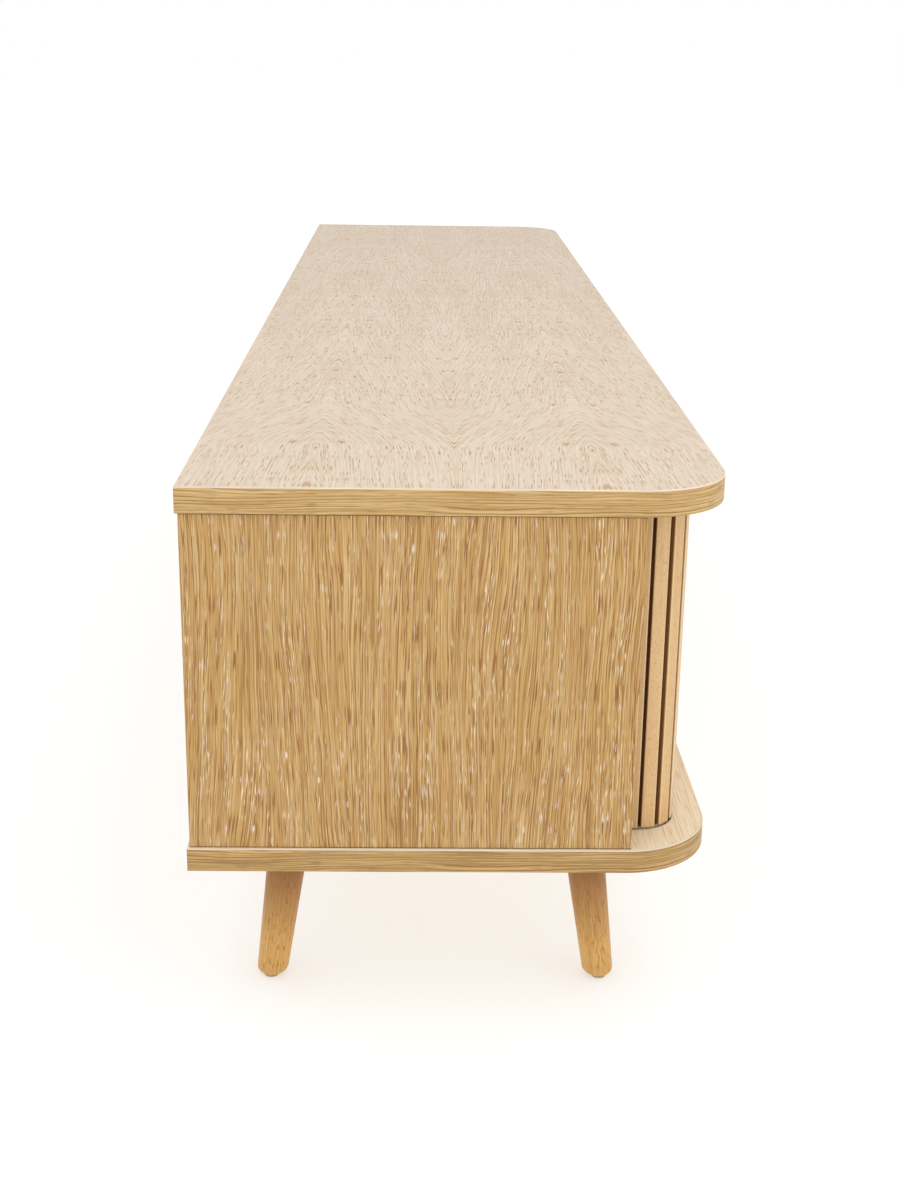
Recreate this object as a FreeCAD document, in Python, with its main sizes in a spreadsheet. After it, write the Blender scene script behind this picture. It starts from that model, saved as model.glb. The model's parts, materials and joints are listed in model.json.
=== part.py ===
import FreeCAD, Part
import math
import os
import re
import Sketcher

# Media cabinet: a long low box on five legs, with two slatted tambour doors that share one track.
# Millimetres. X runs along the length, the front faces -Y, Z is up, and the origin lies on the floor
# under the middle of the box.

doc = FreeCAD.newDocument("media_cabinet")
sheet = doc.addObject("Spreadsheet::Sheet", "Sizes")

SIZES = [
    # overall
    ("length", 1800, "top and base slabs, end to end"),
    ("depth", 400, "top and base slabs, front to back"),
    ("height", 450, "floor to the top face"),
    ("top_thick", 20, "top slab"),
    ("base_thick", 19, "base slab"),
    ("corner_radius", 68, "front corners of both slabs, seen from above"),
    ("band_thick", 1, "oak edging glued round a slab"),
    # upright boards
    ("side_thick", 25, "side panel"),
    ("side_inset", 2, "side panel's outer face and back edge inside the slab's"),
    ("side_front_set", 64, "side panel's front edge behind the slab's"),
    ("divider_thick", 18, "divider"),
    ("centre_width", 828, "clear width between the dividers"),
    ("divider_clear", 4, "divider's front edge behind the doors' canvas"),
    # back boards
    ("back_thick", 5, "back board"),
    ("back_set", 15, "back board's rear face inside the slab's back edge"),
    ("back_groove", 4, "depth of the grooves that hold a back board"),
    ("board_clear", 0.2, "play of a board in its groove"),
    ("arris", 0.8, "rounding of the boards' outer edges"),
    # legs
    ("leg_height", 150, "floor to the base slab"),
    ("leg_top_dia", 36, "leg where it meets the base slab"),
    ("leg_foot_dia", 26, "leg at its foot"),
    ("leg_end_set", 126, "leg's top centre inside the slab's end"),
    ("leg_front_set", 92, "front leg's top centre behind the slab's front edge"),
    ("leg_back_set", 72, "back leg's top centre inside the slab's back edge"),
    ("leg_splay", 20, "foot's reach outward from the leg's top, in X and in Y"),
    ("foot_round", 6, "rounding of the foot"),
    ("glide_dia", 12, "floor glide"),
    ("glide_thick", 3, "floor glide"),
    ("glide_stem_dia", 4, "glide's nail"),
    ("glide_stem_long", 12, "glide's nail"),
    ("bolt_dia", 8, "hanger bolt"),
    ("bolt_in_leg", 30, "hanger bolt's length in the leg"),
    ("insert_dia", 12, "threaded insert in the base slab"),
    ("insert_long", 13, "threaded insert in the base slab"),
    # tambour doors
    ("slat_width", 11, "tambour slat"),
    ("slat_gap", 1.5, "groove between two slats"),
    ("slat_thick", 6, "tambour slat"),
    ("slat_clear", 1.5, "slat's shoulder to the slab"),
    ("canvas_thick", 1, "canvas glued behind the slats"),
    ("canvas_ease", 0.3, "canvas cut back from each fold line"),
    ("track_set", 24, "slats' front face behind the slab's front edge"),
    ("side_track_set", 36, "slats' outer face inside the slab's end"),
    ("tail_slats", 3, "slats behind the side panel's edge"),
    ("stile_least", 30, "narrowest leading stile"),
    ("tenon_thick", 4, "tenon on a slat's end"),
    ("tenon_width", 7, "tenon on a slat's end"),
    ("tenon_long", 5, "tenon's reach into the slab"),
    ("track_clear", 0.5, "play on each side of a tenon"),
    ("track_depth", 7, "track cut in both slabs"),
    ("pull_width", 12, "finger groove in the leading stile"),
    ("pull_depth", 3, "finger groove in the leading stile"),
    ("pull_long", 110, "finger groove in the leading stile"),
    ("pull_set", 8, "finger groove's near side behind the leading edge"),
    ("stop_width", 12, "stop block in the middle of the track"),
    ("stop_clear", 0.5, "open door to the stop block"),
    # shelves
    ("shelf_thick", 15, "shelf"),
    ("shelf_level", 123, "shelf's underside above the base slab"),
    ("shelf_clear", 0.5, "play between a shelf and the pins' collars, and at its back"),
    ("end_shelf_set", 120, "end shelf's front edge behind the slab's"),
    ("centre_shelf_set", 50, "centre shelf's front edge behind the slab's"),
    ("pin_dia", 5, "shelf pin"),
    ("pin_in", 8, "shelf pin's length in the board"),
    ("pin_out", 9, "shelf pin's length under the shelf"),
    ("pin_set", 40, "pins inside the shelf's front and back edges"),
    ("pin_step", 32, "from one pin hole to the next above it"),
    ("collar_dia", 8, "shelf pin's collar"),
    ("collar_thick", 0.8, "shelf pin's collar"),
    # fittings
    ("joint_in", 9, "fittings' axis inside the board's face"),
    ("joint_front", 40, "first fitting behind the side panel's front edge"),
    ("joint_back", 48, "last fitting inside the side panel's back edge"),
    ("dowel_step", 30, "dowel beside a cam fitting"),
    ("cam_dia", 15, "cam lock"),
    ("cam_deep", 12.5, "cam lock"),
    ("cam_reach", 34, "cam lock's centre inside the board's end"),
    ("cam_bolt_dia", 6, "cam bolt"),
    ("cam_bolt_in", 11, "cam bolt's length in the slab"),
    ("dowel_dia", 8, "dowel"),
    ("dowel_low", 12, "dowel's length in the slab"),
    ("dowel_high", 20, "dowel's length in the upright board"),
    ("fit_clear", 0.1, "play all round a fitting"),
    # cable holes
    ("cable_hole_dia", 60, "hole in a back board"),
    ("cable_hole_level", 62, "hole's centre above the base slab"),
    ("grommet_wall", 2.5, "grommet's sleeve"),
    ("grommet_rim", 6, "grommet's rim past the hole"),
    ("grommet_rim_thick", 2, "grommet's rim"),
]

# Values that follow from the sizes. Each is a formula of sizes and of the values above it.
DERIVED = {
    "half_length": "length / 2",
    "front_edge": "-depth / 2",
    "back_edge": "depth / 2",
    "base_high": "leg_height + base_thick",
    "top_low": "height - top_thick",
    "side_outer": "half_length - side_inset",
    "side_inner": "side_outer - side_thick",
    "side_front": "front_edge + side_front_set",
    "upright_back": "back_edge - side_inset",
    "divider_inner": "centre_width / 2",
    "divider_outer": "divider_inner + divider_thick",
    "back_rear": "back_edge - back_set",
    "back_front": "back_rear - back_thick",
    # slats and track: the canvas line is where the tambour folds
    "pitch": "slat_width + slat_gap",
    "slat_front": "front_edge + track_set",
    "slat_back": "slat_front + slat_thick",
    "canvas_line": "slat_back + canvas_thick / 2",
    "canvas_back": "slat_back + canvas_thick",
    "side_line": "half_length - side_track_set - slat_thick - canvas_thick / 2",
    "corner_reach": "pitch * (cos(15 deg) + cos(45 deg) + cos(75 deg))",
    "turn_x": "side_line - corner_reach",
    "turn_y": "canvas_line + corner_reach",
    "divider_front": "canvas_back + divider_clear",
    "slat_low": "base_high + slat_clear",
    "slat_high": "top_low - slat_clear",
    "slat_count": "floor((turn_x - divider_inner - stile_least) / pitch)",
    "stile_far": "turn_x - slat_count * pitch - slat_gap / 2",
    "track_radius": "corner_reach + (slat_thick + canvas_thick) / 2",
    "track_half": "tenon_thick / 2 + track_clear",
    "track_wide": "track_radius + track_half",
    "track_tight": "track_radius - track_half",
    "track_end": "turn_y + tail_slats * pitch + slat_gap",
    "track_line": "turn_y - track_radius",
    # shelves and fittings
    "shelf_low": "base_high + shelf_level",
    "shelf_back": "back_front - shelf_clear",
    "pin_axis": "shelf_low - pin_dia / 2",
    "rear_pin": "shelf_back - pin_set",
    "front_joint": "side_front + joint_front",
    "rear_joint": "upright_back - joint_back",
    "front_dowel": "front_joint + dowel_step",
    "rear_dowel": "rear_joint - dowel_step",
    "side_joint": "side_inner + joint_in",
    "divider_joint": "divider_outer - joint_in",
    "cable_level": "base_high + cable_hole_level",
    "end_bay_middle": "(side_inner + divider_outer) / 2",
    "leg_x": "half_length - leg_end_set",
    "front_leg_y": "front_edge + leg_front_set",
    "back_leg_y": "back_edge - leg_back_set",
}

for row, (alias, value, meaning) in enumerate(SIZES, start=1):
    sheet.set(f"A{row}", meaning)
    sheet.set(f"B{row}", str(value))
    sheet.setAlias(f"B{row}", alias)
doc.recompute()

ALIASES = {alias for alias, value, meaning in SIZES}
SIDES = {"left": -1, "right": 1}
FOLD_ANGLES = (15, 45, 75)


def formula(text):
    """Write out a formula so that it reads only the sheet's cells."""

    def written(match):
        word = match.group(0)
        if word in DERIVED:
            return f"({formula(DERIVED[word])})"
        return f"Sizes.{word}" if word in ALIASES else word

    return re.sub(r"[a-z_]+", written, str(text))


def number(text):
    """The present value of a formula."""
    result = sheet.evalExpression(formula(text))
    return float(getattr(result, "Value", result))


def new_body(name, several=False):
    """An empty body; several=True lets one node hold a group of separate solids."""
    body = doc.addObject("PartDesign::Body", name)
    body.Label = name
    body.AllowCompound = several
    return body


def new_sketch(body, role, offset):
    """A sketch on one of the body's origin planes, moved along the plane's normal."""
    plane = next(item for item in body.Origin.OriginFeatures if item.Role == role)
    sketch = body.newObject("Sketcher::SketchObject", f"{body.Name}_sketch")
    sketch.AttachmentSupport = [(plane, "")]
    sketch.MapMode = "FlatFace"
    sketch.setExpression("AttachmentOffset.Base.z", formula(offset))
    return sketch


def bind(sketch, kind, element, point, text):
    """Dimension a point from the sketch's origin, or an arc's or circle's size, by a formula."""
    if point is None:
        constraint = Sketcher.Constraint(kind, element, number(text))
    else:
        constraint = Sketcher.Constraint(kind, -1, 1, element, point, number(text))
    index = sketch.addConstraint(constraint)
    sketch.setExpression(f"Constraints[{index}]", formula(text))


def arc_between(start, end, radius, turn):
    """The short arc from start to end; turn is 1 to the left and -1 to the right."""
    chord = end - start
    rise = math.sqrt(radius**2 - (chord.Length / 2) ** 2)
    across = FreeCAD.Vector(-chord.y, chord.x, 0).normalize() * (turn * rise)
    centre = (start + end) * 0.5 + across
    first, last = (start, end) if turn > 0 else (end, start)
    angles = [math.atan2(p.y - centre.y, p.x - centre.x) for p in (first, last)]
    circle = Part.Circle(centre, FreeCAD.Vector(0, 0, 1), radius)
    return Part.ArcOfCircle(circle, *angles)


def outline(sketch, corners):
    """Draw a closed outline. A corner is (x, y) or (x, y, radius, turn) where an arc leaves it."""
    places = [FreeCAD.Vector(number(c[0]), number(c[1]), 0) for c in corners]
    ends = []
    for index, corner in enumerate(corners):
        start = places[index]
        end = places[(index + 1) % len(corners)]
        if len(corner) == 2:
            element = sketch.addGeometry(Part.LineSegment(start, end))
            ends.append((element, 1, 2))
        else:
            turn = corner[3]
            element = sketch.addGeometry(arc_between(start, end, number(corner[2]), turn))
            ends.append((element, 1, 2) if turn > 0 else (element, 2, 1))
    for index, corner in enumerate(corners):
        element, start_point, end_point = ends[index]
        following = ends[(index + 1) % len(corners)]
        join = Sketcher.Constraint("Coincident", element, end_point, following[0], following[1])
        sketch.addConstraint(join)
        bind(sketch, "DistanceX", element, start_point, corner[0])
        bind(sketch, "DistanceY", element, start_point, corner[1])
        if len(corner) > 2:
            bind(sketch, "Radius", element, None, corner[2])


def circles(sketch, centres, diameter):
    """Draw one circle of the given diameter round each centre."""
    for x, y in centres:
        middle = FreeCAD.Vector(number(x), number(y), 0)
        circle = Part.Circle(middle, FreeCAD.Vector(0, 0, 1), number(diameter) / 2)
        element = sketch.addGeometry(circle)
        bind(sketch, "DistanceX", element, 3, x)
        bind(sketch, "DistanceY", element, 3, y)
        bind(sketch, "Diameter", element, None, diameter)


def pad(body, sketch, length, reverse=False):
    """Raise a sketch along its plane's normal."""
    feature = body.newObject("PartDesign::Pad", f"{body.Name}_pad")
    feature.Profile = sketch
    feature.setExpression("Length", formula(length))
    feature.Reversed = reverse
    return feature


def pocket(body, sketch, depth, reverse=False):
    """Cut a sketch against its plane's normal."""
    feature = body.newObject("PartDesign::Pocket", f"{body.Name}_pocket")
    feature.Profile = sketch
    feature.setExpression("Length", formula(depth))
    feature.Reversed = reverse
    return feature


def rectangle(x_low, x_high, y_low, y_high):
    """The four corners of an upright rectangle."""
    return [(x_low, y_low), (x_high, y_low), (x_high, y_high), (x_low, y_high)]


def block(body, x_range, y_range, z_range):
    """Pad a box between the given pairs of formulas."""
    sketch = new_sketch(body, "XY_Plane", z_range[0])
    outline(sketch, rectangle(*x_range, *y_range))
    return pad(body, sketch, f"({z_range[1]}) - ({z_range[0]})")


# Each axis with the origin plane that it crosses, and the sense of that plane's normal.
PLANES = {"x": ("YZ_Plane", 1), "y": ("XZ_Plane", -1), "z": ("XY_Plane", 1)}


def round_sketch(body, axis, centres, diameter, start):
    """Circles on the plane across an axis, at the start value along that axis."""
    role, sense = PLANES[axis]
    sketch = new_sketch(body, role, f"{sense} * ({start})")
    circles(sketch, centres, diameter)
    return sketch


def rods(body, axis, centres, diameter, start, length, toward):
    """Pad round rods along an axis; toward is 1 or -1."""
    sketch = round_sketch(body, axis, centres, diameter, start)
    return pad(body, sketch, length, reverse=toward * PLANES[axis][1] < 0)


def bores(body, axis, centres, diameter, start, depth, toward):
    """Cut round holes along an axis; toward is 1 or -1."""
    sketch = round_sketch(body, axis, centres, diameter, start)
    return pocket(body, sketch, depth, reverse=toward * PLANES[axis][1] > 0)


def ease(body, wanted):
    """Round the edges of the body's last feature whose middle point passes the test."""
    doc.recompute()
    base = body.Tip
    names = []
    for index, edge in enumerate(base.Shape.Edges, start=1):
        middle = edge.valueAt((edge.FirstParameter + edge.LastParameter) / 2)
        if wanted(middle):
            names.append(f"Edge{index}")
    rounding = body.newObject("PartDesign::Fillet", f"{body.Name}_arris")
    rounding.Base = (base, names)
    rounding.setExpression("Radius", formula("arris"))
    doc.recompute()


def at(value, text):
    """Whether a coordinate lies at the present value of a formula."""
    return abs(value - number(text)) < 1e-6


def repeat(body, features, count, reverse=False):
    """Repeat features along the body's own X at the slats' pitch."""
    axis = next(item for item in body.Origin.OriginFeatures if item.Role == "X_Axis")
    pattern = body.newObject("PartDesign::LinearPattern", f"{body.Name}_pattern")
    pattern.Originals = features
    pattern.Direction = (axis, [""])
    pattern.Reversed = reverse
    pattern.setExpression("Length", formula(f"pitch * ({count} - 1)"))
    pattern.setExpression("Occurrences", formula(count))
    body.Tip = pattern
    return pattern


def slab_outline(inset):
    """A slab's outline, moved inward by the inset: square at the back, round at the front."""
    side = f"half_length - {inset}"
    back = f"back_edge - {inset}"
    front = f"front_edge + {inset}"
    radius = f"corner_radius - {inset}"
    turn = 1
    return [
        (f"-({side})", back),
        (f"-({side})", f"{front} + {radius}", radius, turn),
        (f"-({side}) + {radius}", front),
        (f"{side} - ({radius})", front, radius, turn),
        (side, f"{front} + {radius}"),
        (side, back),
    ]


def track_outline():
    """The doors' track: along the front, round both corners and behind the side panels."""
    left, right = 1, -1
    wide = "turn_x + track_wide"
    tight = "turn_x + track_tight"
    return [
        (f"-({wide})", "track_end"),
        (f"-({wide})", "turn_y", "track_wide", left),
        ("-turn_x", "turn_y - track_wide"),
        ("turn_x", "turn_y - track_wide", "track_wide", left),
        (wide, "turn_y"),
        (wide, "track_end"),
        (tight, "track_end"),
        (tight, "turn_y", "track_tight", right),
        ("turn_x", "turn_y - track_tight"),
        ("-turn_x", "turn_y - track_tight", "track_tight", right),
        (f"-({tight})", "turn_y"),
        (f"-({tight})", "track_end"),
    ]


UPRIGHTS_X = ("-(side_joint)", "-(divider_joint)", "divider_joint", "side_joint")
BOLT_PLACES = [(x, y) for x in UPRIGHTS_X for y in ("front_joint", "rear_joint")]
DOWEL_PLACES = [(x, y) for x in UPRIGHTS_X for y in ("front_dowel", "rear_dowel")]
FRONT_LEG = ("leg_x", "front_leg_y", -1)
BACK_LEG = ("leg_x", "back_leg_y", 1)
LEGS = {
    "front_left_leg": (-1, *FRONT_LEG),
    "front_right_leg": (1, *FRONT_LEG),
    "back_left_leg": (-1, *BACK_LEG),
    "back_right_leg": (1, *BACK_LEG),
    "centre_leg": (0, "0", "0", 0),
}


def leg_places(level):
    """Centres of the legs at their "top" or "foot"."""
    reach = "leg_splay" if level == "foot" else "0"
    return [
        (f"{side} * ({x} + {reach})", f"{y} + {lean} * {reach}")
        for side, x, y, lean in LEGS.values()
    ]


def make_slab(name, low, thick, inner, toward):
    """A slab with the track, the back boards' groove and the fittings' holes in its inner face."""
    body = new_body(name)
    sketch = new_sketch(body, "XY_Plane", low)
    outline(sketch, slab_outline("band_thick"))
    pad(body, sketch, thick)
    into_slab = toward > 0
    track = new_sketch(body, "XY_Plane", inner)
    outline(track, track_outline())
    pocket(body, track, "track_depth", into_slab)
    groove = new_sketch(body, "XY_Plane", inner)
    reach = "side_inner + back_groove"
    near, far = "back_front - board_clear", "back_rear + board_clear"
    outline(groove, rectangle(f"-({reach})", reach, near, far))
    pocket(body, groove, "back_groove", into_slab)
    bolt_hole = "cam_bolt_dia + 2 * fit_clear"
    bores(body, "z", BOLT_PLACES, bolt_hole, inner, "cam_bolt_in + fit_clear", toward)
    dowel_hole = "dowel_dia + 2 * fit_clear"
    bores(body, "z", DOWEL_PLACES, dowel_hole, inner, "dowel_low + fit_clear", toward)
    return body


def make_band(name, low, thick):
    """Oak edging all round a slab."""
    body = new_body(name)
    sketch = new_sketch(body, "XY_Plane", low)
    outline(sketch, slab_outline("0"))
    outline(sketch, slab_outline("band_thick"))
    pad(body, sketch, thick)


def pin_rows(front):
    """Pin holes in three rows at the front and back of a shelf, as (y, z) pairs."""
    rows = ("pin_axis - pin_step", "pin_axis", "pin_axis + pin_step")
    return [(y, z) for y in (front, "rear_pin") for z in rows]


END_PINS = "front_edge + end_shelf_set + pin_set"
CENTRE_PINS = "front_edge + centre_shelf_set + pin_set"


def drill_fittings(body, x, face, toward):
    """Holes for the cam locks in one face, and for the cam bolts and dowels in both ends."""
    bolt_hole = "cam_bolt_dia + 2 * fit_clear"
    dowel_hole = "dowel_dia + 2 * fit_clear"
    bolts = [(x, "front_joint"), (x, "rear_joint")]
    dowels = [(x, "front_dowel"), (x, "rear_dowel")]
    for end, inward in (("base_high", 1), ("top_low", -1)):
        bores(body, "z", bolts, bolt_hole, end, "cam_reach", inward)
        bores(body, "z", dowels, dowel_hole, end, "dowel_high + fit_clear", inward)
    cam_hole = "cam_dia + 2 * fit_clear"
    bores(body, "x", cam_places(), cam_hole, face, "cam_deep + fit_clear", toward)


def cam_places():
    """Cam locks' centres in an upright board, as (y, z) pairs."""
    levels = ("base_high + cam_reach", "top_low - cam_reach")
    return [(y, z) for y in ("front_joint", "rear_joint") for z in levels]


def groove_upright(body, face, toward):
    """Groove for a back board, down the whole height of an upright's face."""
    sketch = new_sketch(body, "XY_Plane", "top_low")
    near, far = "back_front - board_clear", "back_rear + board_clear"
    outline(sketch, rectangle(face, f"{face} + {toward} * back_groove", near, far))
    pocket(body, sketch, "top_low - base_high")


def make_side_panel(word, side):
    """Side panel, grooved and drilled on its inner face."""
    body = new_body(f"{word}_side_panel")
    x_range = (f"{side} * (side_inner)", f"{side} * (side_outer)")
    block(body, x_range, ("side_front", "upright_back"), ("base_high", "top_low"))
    ease(body, lambda p: at(p.x, x_range[1]) or (at(p.x, x_range[0]) and at(p.y, "side_front")))
    face = f"{side} * (side_inner)"
    groove_upright(body, face, side)
    hole = "pin_dia + 2 * fit_clear"
    bores(body, "x", pin_rows(END_PINS), hole, face, "pin_in + fit_clear", side)
    drill_fittings(body, f"{side} * (side_joint)", face, side)


def make_divider(word, side):
    """Divider, grooved and drilled on both faces."""
    body = new_body(f"{word}_divider")
    inner = f"{side} * (divider_inner)"
    outer = f"{side} * (divider_outer)"
    block(body, (inner, outer), ("divider_front", "upright_back"), ("base_high", "top_low"))
    level = "(base_high + top_low) / 2"
    ease(body, lambda p: at(p.y, "divider_front") and at(p.z, level))
    hole = "pin_dia + 2 * fit_clear"
    for face, toward, front in ((inner, side, CENTRE_PINS), (outer, -side, END_PINS)):
        groove_upright(body, face, toward)
        bores(body, "x", pin_rows(front), hole, face, "pin_in + fit_clear", toward)
    drill_fittings(body, f"{side} * (divider_joint)", outer, -side)


BAYS = {
    "left": ("-(side_inner)", "-(divider_outer)", "-(end_bay_middle)"),
    "centre": ("-(divider_inner)", "divider_inner", "0"),
    "right": ("divider_outer", "side_inner", "end_bay_middle"),
}


def make_back_board(bay, low, high, middle):
    """Back board of one bay, let into grooves all round, with its cable hole."""
    body = new_body(f"{bay}_back_board")
    reach = "back_groove - board_clear"
    x_range = (f"{low} - ({reach})", f"{high} + {reach}")
    z_range = (f"base_high - ({reach})", f"top_low + {reach}")
    block(body, x_range, ("back_front", "back_rear"), z_range)
    bores(body, "y", [(middle, "cable_level")], "cable_hole_dia", "back_front", "back_thick", 1)


def make_grommet(bay, middle):
    """Cable grommet: a sleeve through the back board, and a rim against its rear face."""
    body = new_body(f"{bay}_cable_grommet")
    centre = [(middle, "cable_level")]
    sleeve = "cable_hole_dia - 2 * fit_clear"
    rods(body, "y", centre, sleeve, "back_front", "back_thick + grommet_rim_thick", 1)
    rim = "cable_hole_dia + 2 * grommet_rim"
    rods(body, "y", centre, rim, "back_rear", "grommet_rim_thick", 1)
    through = "back_thick + grommet_rim_thick"
    bore = "cable_hole_dia - 2 * fit_clear - 2 * grommet_wall"
    bores(body, "y", centre, bore, "back_front", through, 1)


def make_shelf(bay, low, high, front_set):
    """Loose shelf on four pins."""
    body = new_body(f"{bay}_shelf")
    play = "(collar_thick + shelf_clear)"
    x_range = (f"{low} + {play}", f"{high} - {play}")
    y_range = (f"front_edge + {front_set}", "shelf_back")
    block(body, x_range, y_range, ("shelf_low", "shelf_low + shelf_thick"))
    middle = f"({x_range[0]} + {x_range[1]}) / 2"
    ease(body, lambda p: at(p.y, y_range[0]) and at(p.x, middle))


def make_shelf_pins(bay, low, high, front):
    """Four shelf pins of one bay, each a rod with a collar against the board."""
    body = new_body(f"{bay}_shelf_pins", several=True)
    places = [(front, "pin_axis"), ("rear_pin", "pin_axis")]
    for face, toward in ((low, 1), (high, -1)):
        start = f"{face} - {toward} * pin_in"
        rods(body, "x", places, "pin_dia", start, "pin_in + pin_out", toward)
        rods(body, "x", places, "collar_dia", face, "collar_thick", toward)


def make_cam_locks():
    """Sixteen cam locks, each bored to take its bolt's head."""
    body = new_body("cam_locks", several=True)
    for side in SIDES.values():
        for face, toward in (("side_inner", side), ("divider_outer", -side)):
            rods(body, "x", cam_places(), "cam_dia", f"{side} * ({face})", "cam_deep", toward)
    hole = "cam_bolt_dia + 2 * fit_clear"
    for end, inward in (("base_high", 1), ("top_low", -1)):
        bores(body, "z", BOLT_PLACES, hole, end, "cam_reach + cam_bolt_dia / 2", inward)


def make_end_fittings(name, places, diameter, in_slab, in_upright):
    """Round fittings that join the uprights' ends to both slabs."""
    body = new_body(name, several=True)
    for end, inward in (("base_high", 1), ("top_low", -1)):
        start = f"{end} - {inward} * {in_slab}"
        rods(body, "z", places, diameter, start, f"{in_slab} + {in_upright}", inward)


def lowest_edge(shape):
    """Name of the edge nearest the floor."""
    heights = [edge.BoundBox.ZMax for edge in shape.Edges]
    return f"Edge{heights.index(min(heights)) + 1}"


def make_leg(name, side, x, y, lean):
    """Turned leg: a slanted taper with a rounded foot, bored for its bolt and its glide."""
    body = new_body(name)
    top = (f"{side} * ({x})", y)
    foot = (f"{side} * ({x} + leg_splay)", f"{y} + {lean} * leg_splay")
    low_sketch = round_sketch(body, "z", [foot], "leg_foot_dia", "glide_thick")
    high_sketch = round_sketch(body, "z", [top], "leg_top_dia", "leg_height")
    loft = body.newObject("PartDesign::AdditiveLoft", f"{name}_taper")
    loft.Profile = high_sketch
    loft.Sections = [low_sketch]
    doc.recompute()
    rounding = body.newObject("PartDesign::Fillet", f"{name}_foot")
    rounding.Base = (loft, [lowest_edge(loft.Shape)])
    rounding.setExpression("Radius", formula("foot_round"))
    doc.recompute()
    bolt_hole = "bolt_dia + 2 * fit_clear"
    bores(body, "z", [top], bolt_hole, "leg_height", "bolt_in_leg + fit_clear", -1)
    stem_hole = "glide_stem_dia + 2 * fit_clear"
    bores(body, "z", [foot], stem_hole, "glide_thick", "glide_stem_long + fit_clear", 1)


def make_leg_hardware():
    """Threaded inserts, hanger bolts and floor glides, one of each on every leg."""
    tops = leg_places("top")
    feet = leg_places("foot")
    inserts = new_body("threaded_inserts", several=True)
    rods(inserts, "z", tops, "insert_dia", "leg_height", "insert_long", 1)
    bores(inserts, "z", tops, "bolt_dia + 2 * fit_clear", "leg_height", "insert_long", 1)
    bolts = new_body("hanger_bolts", several=True)
    bolt_low = "leg_height - bolt_in_leg"
    rods(bolts, "z", tops, "bolt_dia", bolt_low, "bolt_in_leg + insert_long", 1)
    glides = new_body("foot_glides", several=True)
    rods(glides, "z", feet, "glide_dia", "0", "glide_thick", 1)
    rods(glides, "z", feet, "glide_stem_dia", "0", "glide_thick + glide_stem_long", 1)


def make_stops():
    """Stop blocks that fill the middle of the track in both slabs."""
    body = new_body("centre_stops", several=True)
    x_range = ("-stop_width / 2", "stop_width / 2")
    half = "(track_half - fit_clear)"
    y_range = (f"track_line - {half}", f"track_line + {half}")
    block(body, x_range, y_range, ("base_high - track_depth", "base_high"))
    block(body, x_range, y_range, ("top_low", "top_low + track_depth"))


def tenoned(body, x_low, x_high, tenon_low, tenon_high):
    """One upright strip of the door with a tenon at each end."""
    strip = block(body, (x_low, x_high), ("slat_front", "slat_back"), ("slat_low", "slat_high"))
    half = "tenon_thick / 2"
    y_range = (f"track_line - {half}", f"track_line + {half}")
    z_range = ("base_high - tenon_long", "top_low + tenon_long")
    core = block(body, (tenon_low, tenon_high), y_range, z_range)
    return [strip, core]


def make_door_front(word, side):
    """The straight part of a door: slats, canvas and the leading stile with its finger groove."""
    slats = new_body(f"{word}_door_slats", several=True)
    near = f"{side} * (turn_x - slat_gap / 2)"
    far = f"{side} * (turn_x - slat_gap / 2 - slat_width)"
    middle = "turn_x - pitch / 2"
    tenon_near = f"{side} * ({middle} + tenon_width / 2)"
    tenon_far = f"{side} * ({middle} - tenon_width / 2)"
    features = tenoned(slats, near, far, tenon_near, tenon_far)
    repeat(slats, features, "slat_count", reverse=side > 0)
    canvas = new_body(f"{word}_door_canvas")
    x_range = (f"{side} * (turn_x - canvas_ease)", f"{side} * (divider_inner)")
    block(canvas, x_range, ("slat_back", "canvas_back"), ("slat_low", "slat_high"))
    stile = new_body(f"{word}_door_stile")
    lead, rear = f"{side} * (divider_inner)", f"{side} * (stile_far)"
    spare = "(slat_width - tenon_width) / 2"
    tenoned(stile, lead, rear, f"{lead} + {side} * {spare}", f"{rear} - {side} * {spare}")
    pull = new_sketch(stile, "XZ_Plane", "-(slat_front)")
    near_pull = f"{side} * (divider_inner + pull_set)"
    far_pull = f"{side} * (divider_inner + pull_set + pull_width)"
    middle_level = "(slat_low + slat_high) / 2"
    low_pull, high_pull = f"{middle_level} - pull_long / 2", f"{middle_level} + pull_long / 2"
    outline(pull, rectangle(near_pull, far_pull, low_pull, high_pull))
    pocket(stile, pull, "pull_depth")
    ease(stile, lambda p: at(p.y, "slat_front") and at(p.z, middle_level))


def hinge_place(step):
    """Fold line number 0 to 3, as the formulas of its distance from the middle and of its y."""
    along = " + ".join(["0"] + [f"cos({angle} deg)" for angle in FOLD_ANGLES[:step]])
    inward = " + ".join(["0"] + [f"sin({angle} deg)" for angle in FOLD_ANGLES[:step]])
    return f"turn_x + pitch * ({along})", f"canvas_line + pitch * ({inward})"


def place(body, side, step, angle):
    """Stand a piece drawn along X on its fold line, turned to its angle from the front."""
    distance, y = hinge_place(step)
    turn = angle if side > 0 else 180 - angle
    axis = FreeCAD.Vector(0, 0, 1)
    position = FreeCAD.Vector(number(f"{side} * ({distance})"), number(y), 0)
    body.Placement = FreeCAD.Placement(position, FreeCAD.Rotation(axis, turn))
    body.setExpression("Placement.Base.x", formula(f"{side} * ({distance})"))
    body.setExpression("Placement.Base.y", formula(y))


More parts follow.
